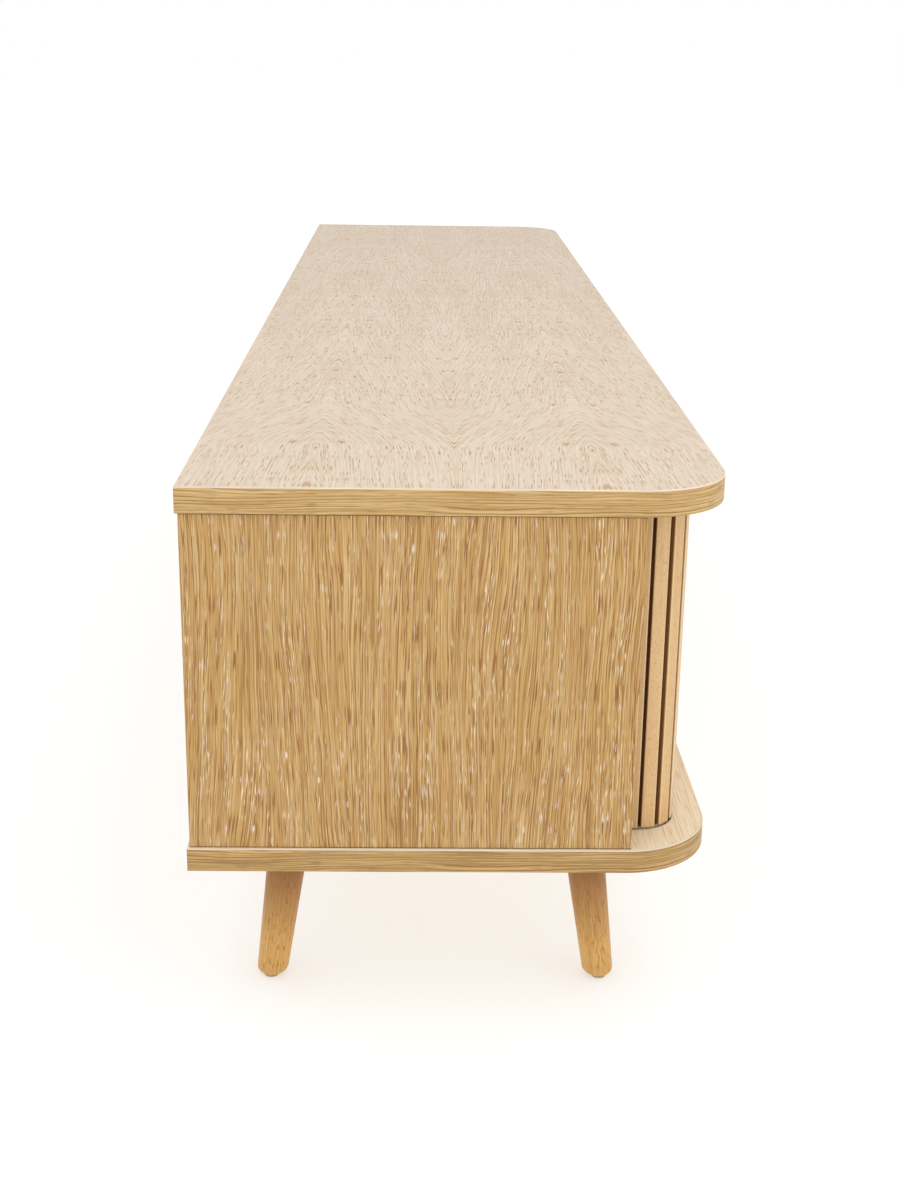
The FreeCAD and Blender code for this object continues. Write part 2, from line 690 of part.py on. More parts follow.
def make_fold(slat_name, canvas_name, side, step, angle, count):
    """Slats and canvas of one stretch past a fold line; count is a formula of its slats."""
    outward = -side
    slats = new_body(slat_name, several=True)
    x_range = ("slat_gap / 2", "slat_gap / 2 + slat_width")
    skin = "canvas_thick / 2"
    y_range = (f"{outward} * {skin}", f"{outward} * ({skin} + slat_thick)")
    strip = block(slats, x_range, y_range, ("slat_low", "slat_high"))
    if number(count) > 1:
        repeat(slats, [strip], count)
    place(slats, side, step, angle)
    canvas = new_body(canvas_name)
    x_range = ("canvas_ease", f"pitch * {count} - canvas_ease")
    block(canvas, x_range, (f"-{skin}", skin), ("slat_low", "slat_high"))
    place(canvas, side, step, angle)


def make_door(word, side):
    """One tambour door: its front, three folding slats at the corner, and its tail."""
    make_door_front(word, side)
    for step, angle in enumerate(FOLD_ANGLES):
        order = step + 1
        slat = f"{word}_corner_slat_{order}"
        canvas = f"{word}_corner_canvas_{order}"
        make_fold(slat, canvas, side, step, angle, "1")
    square = 90
    last = len(FOLD_ANGLES)
    make_fold(f"{word}_tail_slats", f"{word}_tail_canvas", side, last, square, "tail_slats")


def make_box():
    """Slabs, edging, uprights, back boards, shelves and what joins them."""
    make_slab("top_panel", "top_low", "top_thick", "top_low", 1)
    make_band("top_edge_band", "top_low", "top_thick")
    base = make_slab("base_panel", "leg_height", "base_thick", "base_high", -1)
    insert_hole = "insert_dia + 2 * fit_clear"
    bores(base, "z", leg_places("top"), insert_hole, "leg_height", "insert_long + fit_clear", 1)
    make_band("base_edge_band", "leg_height", "base_thick")
    for word, side in SIDES.items():
        make_side_panel(word, side)
        make_divider(word, side)
    for bay, (low, high, middle) in BAYS.items():
        make_back_board(bay, low, high, middle)
        make_grommet(bay, middle)
        central = bay == "centre"
        make_shelf(bay, low, high, "centre_shelf_set" if central else "end_shelf_set")
        make_shelf_pins(bay, low, high, CENTRE_PINS if central else END_PINS)
    make_cam_locks()
    make_end_fittings("cam_bolts", BOLT_PLACES, "cam_bolt_dia", "cam_bolt_in", "cam_reach")
    make_end_fittings("dowels", DOWEL_PLACES, "dowel_dia", "dowel_low", "dowel_high")


def check_and_export():
    """Stop on any failed object or empty cut, then write one file for each node."""
    doc.recompute()
    for item in doc.Objects:
        if "Invalid" in item.State or "Error" in item.State:
            raise RuntimeError(f"{item.Name} failed: {item.State}")
        if item.TypeId == "PartDesign::Pocket":
            removed = item.BaseFeature.Shape.Volume - item.Shape.Volume
            if removed <= 0:
                raise RuntimeError(f"{item.Name} cuts nothing")
    os.makedirs("parts", exist_ok=True)
    for body in doc.Objects:
        if body.TypeId != "PartDesign::Body":
            continue
        if body.Shape.isNull() or not body.Shape.isValid():
            raise RuntimeError(f"{body.Label} has no valid shape")
        body.Shape.exportStep(f"parts/{body.Label}.step")


make_box()
for name, place_values in LEGS.items():
    make_leg(name, *place_values)
make_leg_hardware()
make_stops()
for word, side in SIDES.items():
    make_door(word, side)
check_and_export()
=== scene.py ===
# %% [markdown]
# # A media cabinet in oak
#
# The cabinet is a long low box on splayed legs. Its frame comes ready made: every board, fitting and
# door slat has its place and size already, so this lesson only dresses it. We look at how each visible
# piece is made in a workshop, build the ones that need a finer surface, and give every one its timber.

# %% Load the frame
import json
import math
import bmesh
import bpy
import numpy as np
from mathutils import Matrix, Vector


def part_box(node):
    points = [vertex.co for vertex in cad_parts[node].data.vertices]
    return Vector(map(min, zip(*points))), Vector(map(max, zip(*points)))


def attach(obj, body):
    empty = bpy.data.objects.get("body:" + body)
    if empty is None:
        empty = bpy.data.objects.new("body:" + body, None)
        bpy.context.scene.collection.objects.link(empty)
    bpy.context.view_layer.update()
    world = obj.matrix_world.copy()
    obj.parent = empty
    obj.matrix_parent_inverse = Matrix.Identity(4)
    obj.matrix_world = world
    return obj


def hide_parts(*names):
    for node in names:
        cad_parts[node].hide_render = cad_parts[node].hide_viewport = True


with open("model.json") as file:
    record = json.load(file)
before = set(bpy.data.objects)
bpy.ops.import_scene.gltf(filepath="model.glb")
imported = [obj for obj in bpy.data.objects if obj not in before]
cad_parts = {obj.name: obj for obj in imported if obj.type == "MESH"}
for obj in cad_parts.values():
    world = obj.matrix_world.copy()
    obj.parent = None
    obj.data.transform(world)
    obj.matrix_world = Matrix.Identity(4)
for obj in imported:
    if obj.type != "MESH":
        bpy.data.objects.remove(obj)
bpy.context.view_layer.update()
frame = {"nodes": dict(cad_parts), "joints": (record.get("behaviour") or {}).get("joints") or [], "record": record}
NODES = frame["nodes"]
MM = 0.001

# %% [markdown]
# ## Colours and nodes
#
# Paint charts and screens give colours as sRGB hex values, but the renderer adds light in linear
# values, so one function turns the first into the second. Node trees are wordy to build by hand. One
# helper adds a node, sets what it is told to set, and joins what it is told to join. Another starts a
# material with its shader in place.


# %% Helpers for materials
def linear(code):
    """An sRGB hex colour as linear red, green, blue and alpha."""
    levels = np.array([int(code[i:i + 2], 16) for i in (1, 3, 5)]) / 255
    bent = np.where(levels <= 0.04045, levels / 12.92, ((levels + 0.055) / 1.055) ** 2.4)
    return (*bent.tolist(), 1.0)


def add(tree, kind, inputs=None, stops=None, **settings):
    """Add a node. inputs maps a socket's name or number to a value or to another node's output."""
    node = tree.nodes.new(f"ShaderNode{kind}")
    for name, value in settings.items():
        setattr(node, name, value)
    for key, value in (inputs or {}).items():
        if isinstance(value, bpy.types.NodeSocket):
            tree.links.new(value, node.inputs[key])
        else:
            node.inputs[key].default_value = value
    if stops:
        elements = node.color_ramp.elements
        while len(elements) < len(stops):
            elements.new(1.0)
        for element, (position, code) in zip(elements, stops):
            element.position = position
            element.color = linear(code)
    return node


def new_material(name):
    """An empty node material with its shader and output joined; returns (material, tree, shader)."""
    material = bpy.data.materials.new(name)
    material.use_nodes = True
    tree = material.node_tree
    tree.nodes.clear()
    shader = add(tree, "BsdfPrincipled")
    add(tree, "OutputMaterial", {"Surface": shader.outputs[0]})
    return material, tree, shader


print("sRGB #808080 is linear", round(linear("#808080")[0], 3))

# %% [markdown]
# ## Camera and light
#
# A cabinet like this is shown from its end, a little above the top, so that the long top runs away
# from the eye. The camera stands two metres from the middle, tips down eighteen degrees, turns a
# little towards the front and is rolled by less than a degree, as a camera held by hand is. Its axes
# are worked out as vectors: forward from the two angles, then right and up, turned by the roll.
# The light is a soft studio: a pale room, a large panel overhead, and a weaker panel at the front.
# The floor is matt white paint that gives off a little light of its own, so that it stays nearly white
# under the cabinet and the shadow is only a faint tint.

# %% Camera
CAMERA_PLACE = Vector((-2.061, 0.028, 0.749))
YAW, TIP, ROLL = (math.radians(angle) for angle in (-1.173, 18.18, 0.82))
LENS, SENSOR = 51.0, 36.0
forward = Vector((math.cos(YAW) * math.cos(TIP), math.sin(YAW) * math.cos(TIP), -math.sin(TIP)))
level_right = forward.cross(Vector((0, 0, 1))).normalized()
level_up = level_right.cross(forward)
right = math.cos(ROLL) * level_right + math.sin(ROLL) * level_up
up = math.cos(ROLL) * level_up - math.sin(ROLL) * level_right
camera_data = bpy.data.cameras.new("studio_camera")
camera_data.sensor_fit = "AUTO"
camera_data.sensor_width = SENSOR
camera_data.lens = LENS
camera = bpy.data.objects.new("studio_camera", camera_data)
turn = Matrix((right, up, -forward)).transposed().to_4x4()
camera.matrix_world = Matrix.Translation(CAMERA_PLACE) @ turn
bpy.context.scene.collection.objects.link(camera)
bpy.context.scene.camera = camera
print("lens", round(camera_data.lens, 1), "mm")

# %% Floor
bpy.context.scene.view_settings.view_transform = "Standard"
FLOOR_HALF = 30.0
FLOOR_GLOW = 0.50
floor_mesh = bpy.data.meshes.new("studio_floor")
corners = [(x * FLOOR_HALF, y * FLOOR_HALF, 0) for x, y in ((-1, -1), (1, -1), (1, 1), (-1, 1))]
floor_mesh.from_pydata(corners, [], [(0, 1, 2, 3)])
floor = bpy.data.objects.new("studio_floor", floor_mesh)
bpy.context.scene.collection.objects.link(floor)
paint, tree, shader = new_material("white_studio_paint")
shader.inputs["Base Color"].default_value = linear("#C0C0C0")
shader.inputs["Roughness"].default_value = 0.95
shader.inputs["Emission Color"].default_value = linear("#FFFFFF")
shader.inputs["Emission Strength"].default_value = FLOOR_GLOW
floor_mesh.materials.append(paint)
print("floor", 2 * FLOOR_HALF, "m square")

# %% Room and lights
world = bpy.data.worlds.new("pale_room")
world.use_nodes = True
room = world.node_tree.nodes["Background"]
room.inputs["Color"].default_value = linear("#FFFFFF")
room.inputs["Strength"].default_value = 1.0
bpy.context.scene.world = world


def panel_light(name, place, target, width, height, watts):
    """A soft rectangular lamp at a place, facing a target."""
    data = bpy.data.lights.new(name, "AREA")
    data.shape = "RECTANGLE"
    data.size, data.size_y, data.energy = width, height, watts
    lamp = bpy.data.objects.new(name, data)
    aim = (Vector(target) - Vector(place)).to_track_quat("-Z", "Y")
    lamp.matrix_world = Matrix.Translation(place) @ aim.to_matrix().to_4x4()
    bpy.context.scene.collection.objects.link(lamp)


panel_light("overhead_panel", (-1.4, -0.2, 2.2), (-0.7, 0, 0.4), 1.6, 1.6, 9)
panel_light("front_panel", (-2.2, -2.6, 1.5), (-0.6, 0, 0.3), 1.6, 1.2, 6)
print("lamps", [lamp.name for lamp in bpy.data.lights])

# %% [markdown]
# ## Sizes read from the frame
#
# Every new piece takes its place from the frame: a slab's box gives its length, depth and thickness,
# and a door's box says how many slats it has. Only what a box can't say, such as the radius of a round
# corner or how much a sharp edge is eased with sandpaper, is named in this lesson.


# %% Read the frame's sizes
def span(node):
    """Lowest and highest corner of a node as two arrays."""
    low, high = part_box(node)
    return np.array(low), np.array(high)


TOP_LOW, TOP_HIGH = span("top_edge_band")
BASE_LOW, BASE_HIGH = span("base_edge_band")
BAND_THICK = TOP_HIGH[0] - span("top_panel")[1][0]
CORNER_RADIUS = 68 * MM
print("slab", TOP_HIGH - TOP_LOW, "band", round(BAND_THICK / MM, 2), "mm")

# %% [markdown]
# ## From a grid to a mesh
#
# All the new pieces are surfaces over a grid: one direction runs round a closed profile, the other
# runs along a path or round an axis. The grid's points are worked out in one numpy expression, and
# the quads that join neighbouring points are worked out the same way, so no loop visits a vertex.


# %% Grid surfaces
def grid_quads(rows, columns, wrap_rows=False, wrap_columns=True):
    """Quads joining a grid of points: each cell joins (i, j), (i+1, j), (i+1, j+1) and (i, j+1)."""
    i = np.arange(rows if wrap_rows else rows - 1)
    j = np.arange(columns if wrap_columns else columns - 1)
    i, j = np.meshgrid(i, j, indexing="ij")
    after_i, after_j = (i + 1) % rows, (j + 1) % columns
    cells = (i * columns + j, after_i * columns + j, after_i * columns + after_j, i * columns + after_j)
    return np.stack(cells, axis=-1).reshape(-1, 4)


def make_piece(name, points, faces, material, attributes=None, smooth_angle=35):
    """A mesh object from points and faces; attributes maps a name to one value or vector a point."""
    mesh = bpy.data.meshes.new(name)
    mesh.from_pydata(np.asarray(points, float).reshape(-1, 3), [], [list(f) for f in faces])
    for label, values in (attributes or {}).items():
        values = np.asarray(values, np.float32).reshape(len(mesh.vertices), -1)
        kind, field = ("FLOAT", "value") if values.shape[1] == 1 else ("FLOAT_VECTOR", "vector")
        mesh.attributes.new(label, kind, "POINT").data.foreach_set(field, values.ravel())
    mesh.materials.append(material)
    mesh.polygons.foreach_set("use_smooth", np.ones(len(mesh.polygons), bool))
    mesh.set_sharp_from_angle(angle=math.radians(smooth_angle))
    mesh.update()
    piece = bpy.data.objects.new(name, mesh)
    bpy.context.scene.collection.objects.link(piece)
    return piece


def settle(piece, body, node):
    """Let a piece ride on a body and stand for a CAD node, whose own mesh is hidden."""
    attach(piece, body)
    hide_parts(node)
    triangles = sum(len(face.vertices) - 2 for face in piece.data.polygons)
    print(piece.name, "on", body, triangles, "triangles")


print("a 3 by 4 ring grid has", len(grid_quads(3, 4)), "quads")

# %% [markdown]
# ## How oak shows itself
#
# Oak is ring-porous: each year's growth starts with a row of wide vessels. Cut lengthwise, the vessels
# show as short dashes along the grain, and the growth rings as lines or arches. A lime wash leaves
# white in some of the vessels. So one recipe serves every oak finish here: noise stretched along the
# grain, cut off at a level so that only its peaks remain. Its size is given in millimetres. Real
# vessels are only about a quarter of a millimetre wide, which would not show in a picture of the whole
# cabinet. In every finish below they are drawn 0.75 to 1.3 mm wide, as coarse as they need to show.


# %% Dashes along the grain
def dashes(tree, place, size, low, high, detail=2.0):
    """Noise with cells of the given size in mm, as 0 below the low level and 1 above the high one."""
    scale = tuple(1 / (MM * length) for length in size)
    mapped = add(tree, "Mapping", {"Vector": place, "Scale": scale})
    noise = add(tree, "TexNoise", {"Vector": mapped.outputs[0], "Scale": 1.0, "Detail": detail})
    levels = {"Value": noise.outputs[0], "From Min": low, "From Max": high}
    return add(tree, "MapRange", levels).outputs[0]


def cover(tree, under, code, amount, strength=1.0):
    """Lay a colour over another as far as an amount says, at a strength from 0 to 1."""
    share = add(tree, "Math", {0: amount, 1: strength}, operation="MULTIPLY")
    layers = {0: share.outputs[0], 6: under, 7: linear(code)}
    return add(tree, "Mix", layers, data_type="RGBA").outputs[2]


LACQUER_IOR = 1.5


def finish(tree, shader, colour, pits, depth, roughness):
    """A lacquered or plastic surface with its roughness, and pits from 0 to 1 as deep as depth in mm."""
    tree.links.new(colour, shader.inputs["Base Color"])
    shader.inputs["IOR"].default_value = LACQUER_IOR
    shader.inputs["Roughness"].default_value = roughness
    relief = {"Height": pits, "Distance": depth * MM, "Strength": 1.0}
    tree.links.new(add(tree, "Bump", relief, invert=True).outputs[0], shader.inputs["Normal"])


print("a dash 10 mm long has noise scale", round(1 / (MM * 10)))

# %% [markdown]
# ## Limed crown-cut veneer for the top
#
# Crown-cut veneer comes off the log in leaves that show arches, and a leaf opened like a book mirrors
# its neighbour. The top has such a seam down its middle, and an arched leaf on each side of it. The
# rings are level lines of one number: the distance from the leaf's centre line plus a drift along the
# length. Where the drift changes quickly, the lines slant and meet in points on the centre line and
# on the seam. Vessels and fine streaks are drawn in the same slanted coordinates, so they follow the
# rings. White lime fills most vessels and makes the whole sheet pale, soft in contrast and matt.


# %% Top veneer
LEAF_CENTRE, TURN_RADIUS = 107 * MM, 3 * MM
TOP_RING_GAP = 4.4 * MM
DRIFTS = ((-2.00, 2.00, 130), (-0.78, -0.60, 46), (-0.64, -0.22, 26))


def limed_crown_cut_oak_veneer():
    """Pale book-matched oak, matt; the ring number is distance + drift + wobble.

    The distance is from the leaf's centre line, and the turn radius rounds the point of each arch. Each
    drift grows smoothly from one x to another, both in metres, by a number of millimetres."""
    material, tree, shader = new_material("limed_crown_cut_oak_veneer")
    place = add(tree, "TexCoord").outputs["Object"]
    axes = add(tree, "SeparateXYZ", {0: place})
    from_seam = add(tree, "Math", {0: axes.outputs[1]}, operation="ABSOLUTE").outputs[0]
    leaf = add(tree, "CombineXYZ", {0: axes.outputs[0], 1: from_seam}).outputs[0]
    across = add(tree, "Math", {0: from_seam, 1: LEAF_CENTRE}, operation="SUBTRACT").outputs[0]
    square = add(tree, "Math", {0: across, 1: across, 2: TURN_RADIUS ** 2}, operation="MULTIPLY_ADD")
    number = add(tree, "Math", {0: square.outputs[0]}, operation="SQRT").outputs[0]
    for start, end, shift in DRIFTS:
        limits = {"Value": axes.outputs[0], "From Min": start, "From Max": end, "To Max": shift * MM}
        step = add(tree, "MapRange", limits, interpolation_type="SMOOTHSTEP").outputs[0]
        number = add(tree, "Math", {0: number, 1: step}, operation="ADD").outputs[0]
    for size, swing in (((420, 70, 1000), 12), ((120, 26, 1000), 3.0)):
        wave = dashes(tree, leaf, size, 0.0, 1.0, detail=0.0)
        terms = {0: wave, 1: swing * MM, 2: number}
        number = add(tree, "Math", terms, operation="MULTIPLY_ADD").outputs[0]
    flow = add(tree, "CombineXYZ", {0: axes.outputs[0], 1: number}).outputs[0]
    year = add(tree, "Math", {0: number, 1: 1 / TOP_RING_GAP}, operation="MULTIPLY").outputs[0]
    year = add(tree, "Math", {0: year}, operation="FRACT").outputs[0]
    year_line = add(tree, "ValToRGB", {0: year}, stops=[
        (0.0, "#FFFFFF"), (0.16, "#707070"), (0.36, "#000000"), (0.86, "#000000"), (1.0, "#FFFFFF")])
    cloud = dashes(tree, flow, (260, 30, 1000), 0.35, 0.65)
    fine = dashes(tree, flow, (140, 1.3, 1000), 0.42, 0.62, detail=1.0)
    limed = dashes(tree, flow, (50, 1.2, 1000), 0.52, 0.68, detail=0.0)
    vessels = dashes(tree, flow, (17, 1.0, 1000), 0.60, 0.68, detail=0.0)
    crowd = dashes(tree, flow, (90, 6, 1000), 0.36, 0.54)
    colour = cover(tree, linear("#D6C7B5"), "#CBB9A3", cloud, 0.6)
    colour = cover(tree, colour, "#C4AC8C", fine, 0.35)
    colour = cover(tree, colour, "#BFA27C", year_line.outputs[0], 0.32)
    colour = cover(tree, colour, "#EBE0D2", limed, 0.28)
    seen = add(tree, "Math", {0: vessels, 1: crowd}, operation="MULTIPLY").outputs[0]
    colour = cover(tree, colour, "#AA7428", seen, 0.70)
    finish(tree, shader, colour, seen, 0.05, 0.62)
    return material


TOP_VENEER = limed_crown_cut_oak_veneer()
print(TOP_VENEER.name)

# %% [markdown]
# ## Quarter-cut veneer for the end panels
#
# On the end panels the grain stands upright and nearly straight. The wood keeps its honey colour, the
# vessels are brown dashes two centimetres long, and the lime shows as short white flecks in loose
# groups. The whole field sways by a few millimetres, so that no two dashes are quite parallel. The
# same cut, turned to lie along the cabinet and with less contrast, serves the boards inside, and a
# paler one serves the base. Where the end panel meets the slabs, a dark line of painted shade stands
# in for the shadow in the joint.


# %% Upright veneer
JOINT_SHADE_WIDTH = 1.0 * MM
PANEL_LOW, PANEL_HIGH = span("left_side_panel")
PANEL_JOINT = ((PANEL_LOW[2] + PANEL_HIGH[2]) / 2, (PANEL_HIGH[2] - PANEL_LOW[2]) / 2)


def straight_oak(name, along, base, dark, vessel, pale, fleck, contrast=1.0, joint=None):
    """Straight-grained oak; the place beside the grain is the other two axes' sum + two slow waves.

    along is the axis number of the grain. joint is the height of the board's middle and half its
    height, for a board with a dark line of painted shade at both ends, where the joints are."""
    material, tree, shader = new_material(name)
    place = add(tree, "TexCoord").outputs["Object"]
    axes = add(tree, "SeparateXYZ", {0: place}).outputs
    first, second = [axes[k] for k in range(3) if k != along]
    beside = add(tree, "Math", {0: first, 1: second}, operation="ADD").outputs[0]
    flat = add(tree, "CombineXYZ", {0: axes[along], 1: beside}).outputs[0]
    for size, swing in (((260, 60, 1000), 26), ((70, 16, 1000), 3.0)):
        wave = dashes(tree, flat, size, 0.0, 1.0, detail=0.0)
        terms = {0: wave, 1: swing * MM, 2: beside}
        beside = add(tree, "Math", terms, operation="MULTIPLY_ADD").outputs[0]
    grain = add(tree, "CombineXYZ", {0: axes[along], 1: beside}).outputs[0]
    tone = dashes(tree, grain, (420, 22, 1000), 0.30, 0.70)
    streak = dashes(tree, grain, (150, 1.1, 1000), 0.42, 0.60, detail=1.0)
    light = dashes(tree, grain, (110, 1.0, 1000), 0.50, 0.64, detail=0.0)
    lines = dashes(tree, grain, (130, 0.9, 1000), 0.57, 0.68, detail=0.0)
    pores = dashes(tree, grain, (22, 0.85, 1000), 0.55, 0.66, detail=0.0)
    crowd = dashes(tree, grain, (200, 3.5, 1000), 0.30, 0.55)
    lime = dashes(tree, grain, (10, 0.75, 1000), 0.62, 0.72, detail=0.0)
    patches = dashes(tree, grain, (90, 8, 1000), 0.46, 0.62)
    colour = cover(tree, linear(base), dark, tone, 0.35)
    colour = cover(tree, colour, dark, streak, 0.65 * contrast)
    colour = cover(tree, colour, pale, light, 0.60 * contrast)
    colour = cover(tree, colour, vessel, lines, 0.62 * contrast)
    deep = add(tree, "Math", {0: pores, 1: crowd}, operation="MULTIPLY").outputs[0]
    colour = cover(tree, colour, vessel, deep, 0.85 * contrast)
    white = add(tree, "Math", {0: lime, 1: patches}, operation="MULTIPLY").outputs[0]
    colour = cover(tree, colour, fleck, white, 0.60 * contrast)
    # Painted shade: a dark line at both ends of the board, in place of the shadow in the joint under the slabs.
    if joint:
        middle, reach = joint
        off = add(tree, "Math", {0: axes[2], 1: middle}, operation="SUBTRACT").outputs[0]
        off = add(tree, "Math", {0: off}, operation="ABSOLUTE").outputs[0]
        ends = {"Value": off, "From Min": reach - JOINT_SHADE_WIDTH, "From Max": reach - JOINT_SHADE_WIDTH / 2}
        colour = cover(tree, colour, "#4A2E1A", add(tree, "MapRange", ends).outputs[0], 0.9)
    finish(tree, shader, colour, deep, 0.02, 0.55)
    return material


SIDE_VENEER = straight_oak(
    "honey_oak_veneer", 2, "#C69E5D", "#AC8040", "#885214", "#D8BA86", "#F4EADA",
    joint=PANEL_JOINT)
INNER_VENEER = straight_oak(
    "plain_oak_veneer", 0, "#CFA870", "#BD925A", "#9A6A38", "#DDC296", "#E8D8BE", contrast=0.6)
UPRIGHT_VENEER = straight_oak(
    "plain_upright_oak_veneer", 2, "#D6B17A", "#C39A62", "#9A6A38", "#E2C89C", "#E8D8BE", contrast=0.6)
BASE_VENEER = straight_oak(
    "limed_straight_oak_veneer", 0, "#F1E1C6", "#E0C9A2", "#C09048", "#F4E8D4", "#F3E8D8",
    contrast=0.45)
print(SIDE_VENEER.name, BASE_VENEER.name)

# %% [markdown]
# ## Oak edging
#
# The slabs' cut edges are hidden by a millimetre of solid oak, glued on with its grain lying along the
# edge. It follows the round corners, so its pattern can't come from plain x and y. The edging's mesh
# carries its own coordinates: how far along the edge a point is, and how high above the slab's
# underside. Its rings are long brown lines, and the dashes are laid beside them, because their second
# coordinate counts rings and not metres. A pale hairline along the top is a painted highlight on the
# upper arris, and the base's edging is painted darker than the top's as painted shade.


# %% Edging
EDGING_RING_GAP = 2.8 * MM
ONE_RING = 1 / MM


def solid_oak_edging(name, thick, base, dark):
    """Oak strip with long brown lines and a painted top highlight; thick is the slab's thickness in mm.

    The ring number is height / ring gap + a slow wander of up to four rings."""
    material, tree, shader = new_material(name)
    place = add(tree, "Attribute", attribute_name="edging_place").outputs["Vector"]
    axes = add(tree, "SeparateXYZ", {0: place})
    wander = dashes(tree, place, (150, 16, 1000), 0.0, 1.0, detail=1.0)
    plain = add(tree, "Math", {0: axes.outputs[1], 1: 1 / EDGING_RING_GAP}, operation="MULTIPLY")
    rings = add(tree, "Math", {0: wander, 1: 4.0, 2: plain.outputs[0]}, operation="MULTIPLY_ADD")
    year = add(tree, "Math", {0: rings.outputs[0]}, operation="FRACT").outputs[0]
    flow = add(tree, "CombineXYZ", {0: axes.outputs[0], 1: rings.outputs[0]}).outputs[0]
    year_line = add(tree, "ValToRGB", {0: year}, stops=[
        (0.0, "#FFFFFF"), (0.12, "#909090"), (0.30, "#000000"), (0.86, "#000000"), (1.0, "#FFFFFF")])
    broken = dashes(tree, flow, (60, 0.6 * ONE_RING, ONE_RING), 0.30, 0.52)
    streak = dashes(tree, flow, (90, 0.36 * ONE_RING, ONE_RING), 0.40, 0.60, detail=1.0)
    vessels = dashes(tree, flow, (14, 0.28 * ONE_RING, ONE_RING), 0.60, 0.70, detail=0.0)
    colour = cover(tree, linear(base), dark, streak, 0.75)
    line = add(tree, "Math", {0: year_line.outputs[0], 1: broken}, operation="MULTIPLY").outputs[0]
    colour = cover(tree, colour, "#7A4C1C", line, 0.85)
    colour = cover(tree, colour, "#7A4C1C", vessels, 0.35)
    # Painted highlight: a pale hairline along the top of the strip, on its upper arris.
    height = {"Value": axes.outputs[1], "From Min": (thick - 1.3) * MM, "From Max": (thick - 0.9) * MM}
    rim = add(tree, "MapRange", height).outputs[0]
    colour = cover(tree, colour, "#F1E6D6", rim, 0.65)
    finish(tree, shader, colour, line, 0.02, 0.5)
    return material


TOP_EDGING = solid_oak_edging(
    "solid_oak_edging", (TOP_HIGH[2] - TOP_LOW[2]) / MM, "#D2B176", "#B08744")
# Painted shade: the base's edging is the same oak as the top's, made darker because it sits lower and gets less
# light.
BASE_EDGING = solid_oak_edging(
    "shaded_solid_oak_edging", (BASE_HIGH[2] - BASE_LOW[2]) / MM, "#C8A466", "#946C36")
print(TOP_EDGING.name, BASE_EDGING.name)

# %% [markdown]
# ## Slats and canvas
#
# The tambour's slats are planed from close-grained blanks, sanded and lacquered. From a metre away
# they look even, with only small tan specks. A pale line along their eased front edges is a painted
# highlight, and dark brown on their sides down in the gaps is painted shade, which makes every gap a
# dark line. Every slat comes from another place in the board, so each has its own tone and its own
# bit of grain. The canvas behind them is brown cotton, woven from threads less than a millimetre
# thick. The specks and the weave are drawn coarser than the real ones, because finer ones would not
# show.


# %% Slat wood and canvas
def planed_slat_oak():
    """Even light oak with specks; reads each slat's own place and shade from the mesh."""
    material, tree, shader = new_material("planed_slat_oak")
    place = add(tree, "Attribute", attribute_name="slat_place").outputs["Vector"]
    shade = add(tree, "Attribute", attribute_name="slat_shade").outputs["Fac"]
    edge = add(tree, "Attribute", attribute_name="slat_edge_highlight").outputs["Fac"]
    deep = add(tree, "Attribute", attribute_name="slat_gap_shade").outputs["Fac"]
    streak = dashes(tree, place, (1.8, 3, 90), 0.34, 0.66, detail=3.0)
    specks = dashes(tree, place, (1.1, 1.4, 2.8), 0.56, 0.66, detail=1.0)
    vessels = dashes(tree, place, (0.8, 1.2, 9), 0.62, 0.70)
    colour = cover(tree, linear("#DFBD8A"), "#D3AE78", shade, 1.0)
    colour = cover(tree, colour, "#CBA069", streak, 0.45)
    colour = cover(tree, colour, "#CE8A40", specks, 0.50)
    colour = cover(tree, colour, "#B47B3E", vessels, 0.35)
    # Painted highlight: a pale line on the eased front edges, where they catch the light.
    colour = cover(tree, colour, "#FBEFC4", edge, 0.75)
    # Painted shade: dark brown on the slats' sides down in the gaps, where the light does not reach.
    colour = cover(tree, colour, "#7C4B1E", deep, 0.92)
    finish(tree, shader, colour, specks, 0.04, 0.48)
    return material


THREAD = 1.4 * MM
WAVES_A_UNIT = math.pi  # at scale 1 the wave texture draws about this many bands in a unit of length


def brown_cotton_canvas():
    """Plain weave, soft and dull: two sets of threads at right angles, each a rounded ridge."""
    material, tree, shader = new_material("brown_cotton_canvas")
    place = add(tree, "Attribute", attribute_name="canvas_place").outputs["Vector"]
    waves = {"Vector": place, "Scale": 1 / (WAVES_A_UNIT * THREAD), "Distortion": 0.6}
    warp, weft = [
        add(tree, "TexWave", waves, wave_type="BANDS", bands_direction=direction).outputs["Fac"]
        for direction in ("X", "Y")]
    weave = add(tree, "Math", {0: warp, 1: weft}, operation="MULTIPLY").outputs[0]
    slub = dashes(tree, place, (18, 3, 1000), 0.40, 0.65)
    colour = cover(tree, linear("#7A4E28"), "#4A2C14", weave, 0.55)
    colour = cover(tree, colour, "#8F6238", slub, 0.35)
    finish(tree, shader, colour, weave, 0.25, 0.95)
    shader.inputs["Sheen Weight"].default_value = 0.2
    return material


SLAT_OAK = planed_slat_oak()
CANVAS = brown_cotton_canvas()
print(SLAT_OAK.name, CANVAS.name)

# %% [markdown]
# ## Turned legs
#
# The legs are turned from solid oak, so the lathe cuts through the rings: long arches on two sides and
# close lines on the other two. The leg's mesh carries coordinates along its own slanted axis, and the
# rings are flat sheets in those coordinates, a little bent. That gives the arches by itself. The leg is
# painted darker towards its top as painted shade, where it stands in the cabinet's shadow, and the
# lacquer over it has a low sheen.


# %% Leg wood
LEG_RING_GAP = 3.2 * MM
LEG_SHADE_LOW, LEG_SHADE_HIGH = 30 * MM, 105 * MM


